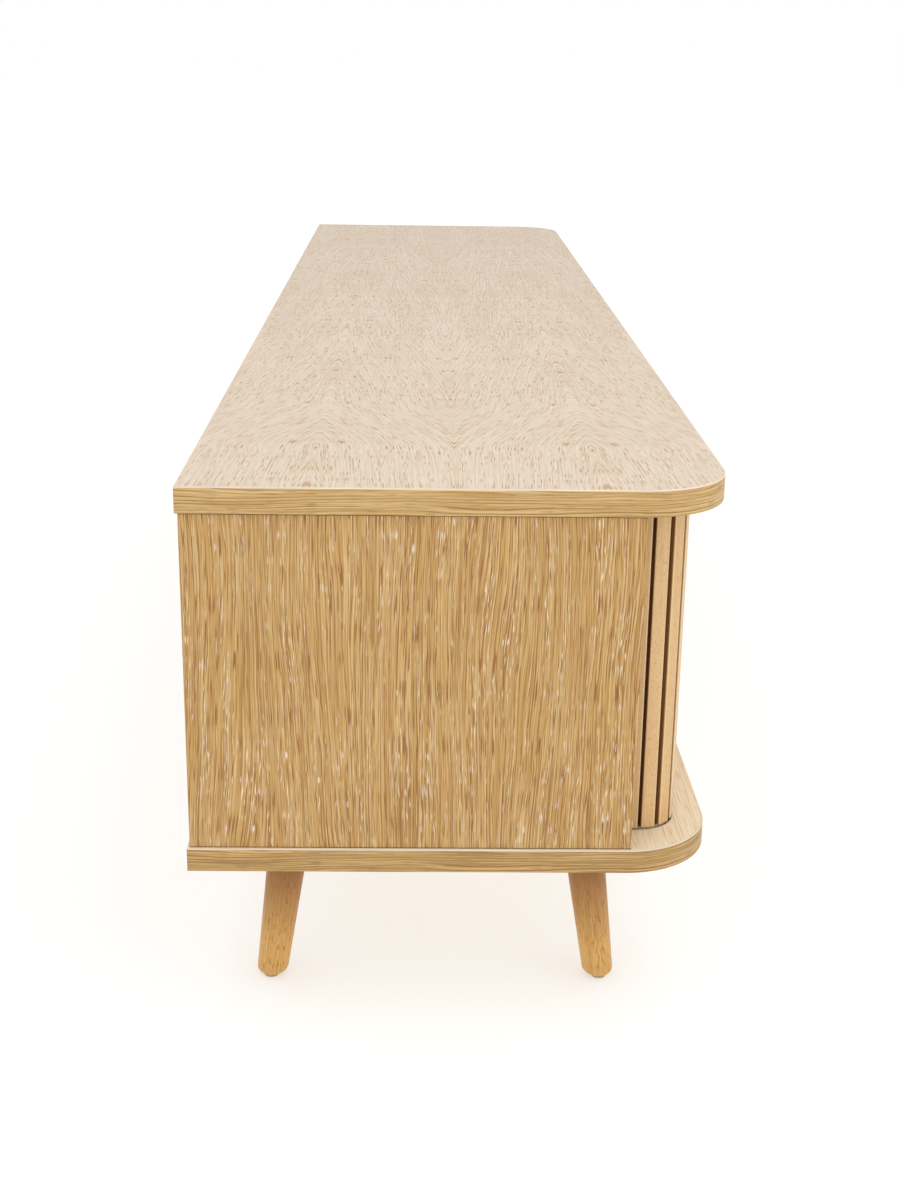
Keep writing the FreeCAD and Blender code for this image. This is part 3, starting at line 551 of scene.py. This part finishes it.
def turned_leg_oak():
    """Golden turned oak; the ring number is distance across the leg / ring gap + a bend."""
    material, tree, shader = new_material("turned_leg_oak")
    place = add(tree, "Attribute", attribute_name="leg_place").outputs["Vector"]
    axes = add(tree, "SeparateXYZ", {0: place})
    bend = dashes(tree, place, (24, 24, 140), 0.0, 1.0, detail=1.5)
    plain = add(tree, "Math", {0: axes.outputs[0], 1: 1 / LEG_RING_GAP}, operation="MULTIPLY")
    rings = add(tree, "Math", {0: bend, 1: 3.0, 2: plain.outputs[0]}, operation="MULTIPLY_ADD")
    year = add(tree, "Math", {0: rings.outputs[0]}, operation="FRACT").outputs[0]
    year_line = add(tree, "ValToRGB", {0: year}, stops=[
        (0.0, "#FFFFFF"), (0.3, "#303030"), (0.6, "#000000"), (1.0, "#FFFFFF")])
    streak = dashes(tree, place, (1.3, 1.3, 26), 0.36, 0.64, detail=3.0)
    pores = dashes(tree, place, (0.9, 0.9, 8), 0.57, 0.66)
    light = dashes(tree, place, (1.1, 1.1, 12), 0.56, 0.68)
    colour = cover(tree, linear("#D8AA5C"), "#C8944A", streak, 0.7)
    colour = cover(tree, colour, "#B98443", year_line.outputs[0], 0.40)
    colour = cover(tree, colour, "#E2BE7C", light, 0.30)
    colour = cover(tree, colour, "#8E5A22", pores, 0.70)
    # Painted shade: the leg is painted darker upwards from 30 mm above the floor, fully from 105 mm, in place of
    # the cabinet's shadow on its top.
    rise = {"Value": axes.outputs[2], "From Min": LEG_SHADE_LOW, "From Max": LEG_SHADE_HIGH}
    colour = cover(tree, colour, "#7E4A16", add(tree, "MapRange", rise).outputs[0], 0.95)
    finish(tree, shader, colour, pores, 0.06, 0.42)
    return material


LEG_OAK = turned_leg_oak()
print(LEG_OAK.name)

# %% [markdown]
# ## Back boards, fittings and plastics
#
# What stays out of sight is plainer: thin fibreboard with a printed oak face at the back, zinc-plated
# steel for the cam fittings and bolts, beech for the dowels, and moulded plastic for the cable
# grommets, glides and stops. Beech is even in tone, so the oak recipe at half its contrast serves it.
# A zinc bath leaves a mottle of bright and dull grains, and a plastic mould is given a fine matt
# texture with sparks. Both are a tenth of a millimetre or less, and are drawn coarser so that they show.


# %% Plain materials
def zinc_plated_steel():
    """Plated steel: a metal with the fine mottle that a zinc bath leaves."""
    material, tree, shader = new_material("zinc_plated_steel")
    place = add(tree, "TexCoord").outputs["Object"]
    mottle = dashes(tree, place, (1.5, 1.5, 1.5), 0.35, 0.65, detail=4.0)
    colour = cover(tree, linear("#B9BCBE"), "#9A9DA0", mottle, 0.6)
    tree.links.new(colour, shader.inputs["Base Color"])
    shader.inputs["Metallic"].default_value = 1.0
    shader.inputs["Roughness"].default_value = 0.34
    return material


def moulded_plastic(name, base, dark, grain):
    """Moulded plastic with a spark-eroded texture; grain is its size in mm."""
    material, tree, shader = new_material(name)
    place = add(tree, "TexCoord").outputs["Object"]
    texture = dashes(tree, place, (grain, grain, grain), 0.3, 0.7, detail=3.0)
    colour = cover(tree, linear(base), dark, texture, 0.5)
    finish(tree, shader, colour, texture, 0.03, 0.45)
    return material


ZINC = zinc_plated_steel()
GROMMET_PLASTIC = moulded_plastic("black_abs_plastic", "#2B2A29", "#1D1C1B", 0.8)
GLIDE_PLASTIC = moulded_plastic("tan_nylon", "#B79B72", "#A58A62", 1.0)
STOP_PLASTIC = moulded_plastic("brown_nylon", "#3A2C20", "#2A1F16", 1.0)
BEECH = straight_oak(
    "beech_dowel", 2, "#DDBB8E", "#CFA877", "#B5875A", "#E4C79C", "#E9D2AE", contrast=0.5)
BACK_BOARD = straight_oak(
    "oak_faced_fibreboard", 0, "#C7A26C", "#B68E58", "#976A3C", "#D3B382", "#DDCBAE", contrast=0.45)
print(ZINC.name, GROMMET_PLASTIC.name, BACK_BOARD.name)

# %% Give every carried-over part its material
FINISHES = {
    "top_veneer": TOP_VENEER, "base_veneer": BASE_VENEER, "edge_oak": TOP_EDGING,
    "side_veneer": SIDE_VENEER, "inner_veneer": INNER_VENEER, "back_board": BACK_BOARD,
    "slat_oak": SLAT_OAK, "stile_oak": UPRIGHT_VENEER, "leg_oak": LEG_OAK, "beech": BEECH,
    "canvas": CANVAS, "zinc_steel": ZINC, "grommet_plastic": GROMMET_PLASTIC,
    "glide_plastic": GLIDE_PLASTIC, "stop_plastic": STOP_PLASTIC,
}
for part in frame["record"]["subparts"]:
    node = part["node"]
    chosen = UPRIGHT_VENEER if node.endswith("_divider") else FINISHES[part["material_slot"]]
    NODES[node].data.materials.clear()
    NODES[node].data.materials.append(chosen)
print("finishes", len(FINISHES))

# %% [markdown]
# ## Edging round the slabs
#
# The edging is one profile, a thin upright strip with its two outer edges eased, carried round the
# slab's outline: straight at the back and ends, round at the two front corners. At a square corner the
# profile is mitred, which means that its points move out along both sides at once. The path's length
# at each point goes into the mesh for the grain.


# %% Edging pieces
EASE = 0.7 * MM
ARC_STEPS = 28
EASE_STEPS = 4


def slab_path(half_x, half_y, radius):
    """The outline as points, outward mitre directions and distances along it, anticlockwise.

    Straight runs join quarter circles of the given radius at the two front corners; the square back
    corners point out along both of their sides. The last point is a millimetre from the first, so that
    the grain's jump where the strip's ends meet is that short."""
    angle = np.linspace(np.pi, 1.5 * np.pi, ARC_STEPS)
    left = np.stack([np.cos(angle), np.sin(angle)], axis=1)
    right = np.stack([np.cos(angle + np.pi / 2), np.sin(angle + np.pi / 2)], axis=1)
    left_arc = np.array([radius - half_x, radius - half_y]) + radius * left
    right_arc = np.array([half_x - radius, radius - half_y]) + radius * right
    back = np.array([[half_x, half_y], [-half_x, half_y]])
    closing = np.array([[half_x, half_y - MM]])
    points = np.concatenate([back, left_arc, right_arc, closing])
    outward = np.concatenate([np.sign(back), left, right, [[1.0, 0.0]]])
    steps = np.linalg.norm(np.diff(points, axis=0), axis=1)
    return points, outward, np.concatenate([[0.0], np.cumsum(steps)])


def eased_strip(thick, tall):
    """The strip's closed profile as (depth inward, height): quarter circles at both outer edges."""
    quarter = np.linspace(0, np.pi / 2, EASE_STEPS)
    low = np.stack([EASE * (1 - np.sin(quarter)), EASE * (1 - np.cos(quarter))], axis=1)
    high = np.stack([low[::-1, 0], tall - low[::-1, 1]], axis=1)
    return np.concatenate([[[thick, 0.0]], low, high, [[thick, tall]]])


def edging(name, low, high, material):
    """Profile carried round the outline: place = path point - depth x mitre direction, plus height."""
    path, outward, along = slab_path(high[0], high[1], CORNER_RADIUS)
    profile = eased_strip(BAND_THICK, high[2] - low[2])
    flat = path[:, None, :] - profile[None, :, :1] * outward[:, None, :]
    height = np.broadcast_to(profile[None, :, 1], flat.shape[:2])
    points = np.concatenate([flat, (low[2] + height)[..., None]], axis=2)
    run = np.broadcast_to(along[:, None], flat.shape[:2])
    place = np.stack([run, height, np.zeros_like(run)], axis=2)
    faces = grid_quads(*flat.shape[:2], wrap_rows=True)
    return make_piece(name, points, faces, material, {"edging_place": place})


settle(edging("top_oak_edging", TOP_LOW, TOP_HIGH, TOP_EDGING), "cabinet", "top_edge_band")
settle(edging("base_oak_edging", BASE_LOW, BASE_HIGH, BASE_EDGING), "cabinet",
       "base_edge_band")

# %% [markdown]
# ## Tambour slats
#
# A slat is a stick with a flat back, eased front edges and, on the straight part of the door, a tenon at
# each end that rides in the track. The stick is a stack of cross-sections: small ones for the tenon,
# then the full one with its ends slightly eased. All the slats of a run share the stack and differ only
# in their place along the canvas. Where the tambour turns the corner, three slats stand at 15, 45 and
# 75 degrees from the front.


# %% Slat shape
SLAT_WIDTH, SLAT_GAP, SLAT_THICK = 11 * MM, 1.5 * MM, 6 * MM
PITCH = SLAT_WIDTH + SLAT_GAP
FRONT_EASE, END_EASE = 0.9 * MM, 0.4 * MM
FRONT_EASE_STEPS = 6
CANVAS_HALF = 0.5 * MM
TENON_WIDTH, TENON_THICK = 7 * MM, 4 * MM


def slat_section():
    """Closed cross-section as (across, out): flat back corners and two front quarter circles."""
    quarter = np.linspace(0, np.pi / 2, FRONT_EASE_STEPS)
    bow, rise = FRONT_EASE * (1 - np.cos(quarter)), FRONT_EASE * np.sin(quarter)
    near = np.stack([bow, SLAT_THICK - FRONT_EASE + rise], axis=1)
    far = np.stack([SLAT_WIDTH - bow[::-1], near[::-1, 1]], axis=1)
    sides = np.array([0.0, SLAT_THICK / 2, SLAT_THICK - 2 * FRONT_EASE])
    left = np.stack([np.zeros_like(sides), sides], axis=1)
    right = np.stack([np.full_like(sides, SLAT_WIDTH), sides[::-1]], axis=1)
    return np.concatenate([left, near, far, right])


SECTION = slat_section()
MIDDLE = np.array([SLAT_WIDTH, SLAT_THICK]) / 2
TENON_SECTION = MIDDLE + np.clip(SECTION - MIDDLE, [-TENON_WIDTH / 2, -TENON_THICK / 2],
                                 [TENON_WIDTH / 2, TENON_THICK / 2])
EASED_SECTION = MIDDLE + (SECTION - MIDDLE) * (1 - END_EASE / MIDDLE)


def face_outward(piece):
    """Turn every face of a closed mesh to the outside."""
    cage = bmesh.new()
    cage.from_mesh(piece.data)
    bmesh.ops.recalc_face_normals(cage, faces=cage.faces)
    cage.to_mesh(piece.data)
    cage.free()


def slat_stack(low, high, tenon):
    """Cross-sections from bottom to top with their heights; tenon is its length past the shoulder."""
    sections = [EASED_SECTION, SECTION, SECTION, EASED_SECTION]
    heights = [low, low + END_EASE, high - END_EASE, high]
    if tenon:
        sections = [TENON_SECTION, TENON_SECTION, *sections, TENON_SECTION, TENON_SECTION]
        heights = [low - tenon, low, *heights, high, high + tenon]
    return np.array(sections), np.array(heights)


print("slat section has", len(SECTION), "points")

# %% A run of slats
BOARD_HALF = 4.0


def slat_run(name, side, start, turn, count, low, high, tenon, seed):
    """Slats side by side on the canvas line: place = start + across x direction + out x normal.

    side is -1 at the left and 1 at the right; turn is the line's angle away from the front. Each slat
    draws its own place in the board, up to four metres off, and its own tone. The marks on the mesh
    say where the painted highlight on the eased front edges and the painted shade on the sides down in
    the gaps go."""
    sections, heights = slat_stack(low, high, tenon)
    direction = np.array([side * math.cos(turn), math.sin(turn)])
    normal = np.array([side * math.sin(turn), -math.cos(turn)])
    shift = SLAT_GAP / 2 + PITCH * np.arange(count)
    across = sections[None, :, :, 0] + shift[:, None, None]
    out = np.broadcast_to(sections[None, :, :, 1] + CANVAS_HALF, across.shape)
    flat = np.array(start[:2]) + across[..., None] * direction + out[..., None] * normal
    tall = np.broadcast_to(heights[None, :, None], across.shape)
    points = np.concatenate([flat, tall[..., None]], axis=3)
    rows, columns = sections.shape[:2]
    bottom, top = np.arange(columns)[::-1], (rows - 1) * columns + np.arange(columns)
    base = rows * columns * np.arange(count)
    quads = grid_quads(rows, columns)[None] + base[:, None, None]
    faces = [*quads.reshape(-1, 4)]
    faces += [end + first for first in base for end in (bottom, top)]
    rng = np.random.default_rng(seed)
    home = rng.uniform(-BOARD_HALF, BOARD_HALF, (count, 3))[:, None, None, :]
    own = np.stack([across, out, tall], axis=3) + home
    shade = np.broadcast_to(rng.uniform(0, 1, count)[:, None, None], across.shape)
    reach = np.broadcast_to(sections[None, :, :, 1], across.shape)
    # Mark for the painted highlight: the eased front edges, near both sides of the slat.
    side_gap = np.minimum(sections[..., 0], SLAT_WIDTH - sections[..., 0])
    rim = np.clip(1 - side_gap / FRONT_EASE, 0, 1)[None]
    edge = rim * np.clip((reach - SLAT_THICK + FRONT_EASE) / FRONT_EASE * 2, 0, 1)
    # Mark for the painted shade: the sides down in the gaps, below the front ease.
    gap_shade = np.clip((SLAT_THICK - FRONT_EASE - reach) / FRONT_EASE, 0, 1)
    marks = {"slat_place": own, "slat_shade": shade, "slat_edge_highlight": edge, "slat_gap_shade": gap_shade}
    piece = make_piece(name, points, faces, SLAT_OAK, marks, smooth_angle=40)
    face_outward(piece)
    return piece


print("pitch of the slats", round(PITCH / MM, 2), "mm")

# %% Place the slats
FOLDS = {joint["name"]: np.array(joint["pos_m"]) for joint in frame["joints"] if "pos_m" in joint}
SHOULDER_LOW, SHOULDER_HIGH = (corner[2] for corner in span("left_corner_slat_1"))
TENON = SHOULDER_LOW - span("left_door_slats")[0][2]
TURNS = [math.radians(angle) for angle in (15, 45, 75)]
for seed, (word, side) in enumerate((("left", -1), ("right", 1))):
    first = FOLDS[f"{word}_fold_1"]
    low, high = span(f"{word}_door_slats")
    count = round((high[0] - low[0] + SLAT_GAP) / PITCH)
    start = first - [side * count * PITCH, 0, 0]
    run = slat_run(f"{word}_front_slats", side, start, 0, count, SHOULDER_LOW, SHOULDER_HIGH, TENON,
                   10 + seed)
    settle(run, f"{word}_door", f"{word}_door_slats")
    for k, turn in enumerate(TURNS, 1):
        lone = slat_run(f"{word}_turning_slat_{k}", side, FOLDS[f"{word}_fold_{k}"], turn, 1,
                        SHOULDER_LOW, SHOULDER_HIGH, 0, 20 + 10 * seed + k)
        settle(lone, f"{word}_corner_{k}", f"{word}_corner_slat_{k}")
    low, high = span(f"{word}_tail_slats")
    tail_count = round((high[1] - low[1] + SLAT_GAP) / PITCH)
    tail = slat_run(f"{word}_hidden_slats", side, FOLDS[f"{word}_fold_4"], math.pi / 2, tail_count,
                    SHOULDER_LOW, SHOULDER_HIGH, 0, 40 + seed)
    settle(tail, f"{word}_tail", f"{word}_tail_slats")
print("slats in a front run", count, "and at its tail", tail_count)

# %% [markdown]
# ## Canvas behind the slats
#
# The canvas is glued to the slats' backs and runs through behind them all. It is cut here at each fold,
# because each stretch moves with its own slats. Between two slats the cloth is free and bulges a little
# towards the room, which is why the sheet is a fine grid and not one flat face. The bulge is a cosine
# with one wave a slat, cut off at zero and cubed, so that the glued part under the slat stays flat.


# %% Canvas sheets
CANVAS_THICK, CANVAS_BULGE = 0.9 * MM, 0.25 * MM
STEPS_A_SLAT, STEPS_UP = 7, 12


def canvas(name, side, start, turn, length, low, high):
    """A thin closed sheet along the canvas line; outer face = half its thickness + the bulge."""
    run = np.linspace(0, length, max(3, round(length / (PITCH / STEPS_A_SLAT))))
    tall = np.linspace(low, high, STEPS_UP)
    run, tall = np.meshgrid(run, tall, indexing="ij")
    bulge = CANVAS_BULGE * np.clip(np.cos(2 * np.pi * run / PITCH), 0, 1) ** 3
    direction = np.array([side * math.cos(turn), math.sin(turn)])
    normal = np.array([side * math.sin(turn), -math.cos(turn)])

    def layer(offset):
        """One face of the cloth, at an offset from its middle; only the outer face bulges."""
        out = offset + bulge * (offset > 0)
        flat = np.array(start[:2]) + run[..., None] * direction + out[..., None] * normal
        return np.concatenate([flat, tall[..., None]], axis=2)

    rows, columns = run.shape
    both = np.stack([layer(-CANVAS_THICK / 2), layer(CANVAS_THICK / 2)])
    face = grid_quads(rows, columns, wrap_columns=False)
    rim = np.concatenate([
        np.arange(columns), columns * np.arange(1, rows) + columns - 1,
        (rows - 1) * columns + np.arange(columns - 2, -1, -1), columns * np.arange(rows - 2, 0, -1)])
    after = np.roll(rim, -1)
    edge = np.stack([rim, after, after + rows * columns, rim + rows * columns], axis=1)
    faces = np.concatenate([face, face[:, ::-1] + rows * columns, edge])
    place = np.broadcast_to(np.stack([run, tall, np.zeros_like(run)], axis=2), both.shape)
    sheet = make_piece(name, both, faces, CANVAS, {"canvas_place": place}, smooth_angle=30)
    face_outward(sheet)
    return sheet


SEAM = 0.15 * MM
for word, side in (("left", -1), ("right", 1)):
    low, high = span(f"{word}_door_canvas")
    first = FOLDS[f"{word}_fold_1"]
    front_length = high[0] - low[0]
    start = first - [side * (front_length + SEAM), 0, 0]
    cloth = canvas(f"{word}_front_canvas", side, start, 0, front_length, low[2], high[2])
    settle(cloth, f"{word}_door", f"{word}_door_canvas")
    for k, turn in enumerate(TURNS, 1):
        step = SEAM * np.array([side * math.cos(turn), math.sin(turn), 0])
        strip = canvas(f"{word}_turning_canvas_{k}", side, FOLDS[f"{word}_fold_{k}"] + step, turn,
                       PITCH - 2 * SEAM, low[2], high[2])
        settle(strip, f"{word}_corner_{k}", f"{word}_corner_canvas_{k}")
    low, high = span(f"{word}_tail_canvas")
    start = FOLDS[f"{word}_fold_4"] + [0, SEAM, 0]
    cloth = canvas(f"{word}_hidden_canvas", side, start, math.pi / 2, high[1] - low[1], low[2], high[2])
    settle(cloth, f"{word}_tail", f"{word}_tail_canvas")
print("front canvas", round(front_length, 4), "m")

# %% [markdown]
# ## Legs
#
# A leg is a turned taper set at a slant. It is a stack of level rings whose centres slide along the
# slanted axis, with radii that shrink towards the foot and close in a quarter round at the floor end.
# The rings lie level because the top is cut to sit flat under the cabinet.


# %% Leg pieces
LEG_TOP_RADIUS, LEG_FOOT_RADIUS, FOOT_ROUND = 18 * MM, 13 * MM, 6 * MM
LEG_SIDES, TAPER_RINGS, ROUND_RINGS = 72, 22, 9


def leg(name, top, foot, seed):
    """Level rings: radius falls evenly from top to foot, then follows a quarter circle to the sole.

    Each leg's wood is turned about its axis by its own angle and taken from its own place."""
    share = np.linspace(0, 1, TAPER_RINGS)
    taper = LEG_TOP_RADIUS + (LEG_FOOT_RADIUS - LEG_TOP_RADIUS) * share
    height = top[2] + (foot[2] + FOOT_ROUND - top[2]) * share
    quarter = np.linspace(0, np.pi / 2, ROUND_RINGS)[1:]
    radius = np.concatenate([taper, LEG_FOOT_RADIUS - FOOT_ROUND * (1 - np.cos(quarter))])
    height = np.concatenate([height, foot[2] + FOOT_ROUND * (1 - np.sin(quarter))])
    reach = (top[2] - height) / (top[2] - foot[2])
    centre = top[:2] + (foot - top)[:2] * reach[:, None]
    angle = np.linspace(0, 2 * np.pi, LEG_SIDES, endpoint=False)
    ring = np.stack([np.cos(angle), np.sin(angle)], axis=1)
    across = radius[:, None, None] * ring
    tall = np.broadcast_to(height[:, None, None], (*across.shape[:2], 1))
    points = np.concatenate([centre[:, None, :] + across, tall], axis=2)
    rows = len(radius)
    sole = (rows - 1) * LEG_SIDES + np.arange(LEG_SIDES)
    faces = [*grid_quads(rows, LEG_SIDES), np.arange(LEG_SIDES), sole[::-1]]
    own = np.concatenate([across, tall], axis=2)
    turn = np.random.default_rng(seed).uniform(0, 2 * np.pi)
    c, s = math.cos(turn), math.sin(turn)
    own = own @ np.array([[c, s, 0], [-s, c, 0], [0, 0, 1]]) + [seed, seed, 0]
    piece = make_piece(name, points, faces, LEG_OAK, {"leg_place": own}, smooth_angle=50)
    face_outward(piece)
    return piece


# %% Place the legs
LEGS = ("front_left_leg", "front_right_leg", "back_left_leg", "back_right_leg", "centre_leg")
for seed, node in enumerate(LEGS):
    low, high = span(node)
    middle = (low + high) / 2
    # A splayed leg's box reaches from the top ring's inner side to the foot ring's outer side.
    outward = np.zeros(3) if node == "centre_leg" else np.sign(middle)
    lean = (high - low - LEG_TOP_RADIUS - LEG_FOOT_RADIUS) / 2 * outward
    centre = middle + (LEG_TOP_RADIUS - LEG_FOOT_RADIUS) / 2 * outward
    top = np.array([*(centre - lean)[:2], high[2]])
    foot = np.array([*(centre + lean)[:2], low[2]])
    print(node, "top", np.round(top, 4), "foot", np.round(foot, 4))
    settle(leg(f"turned_{node}", top, foot, seed), "cabinet", node)
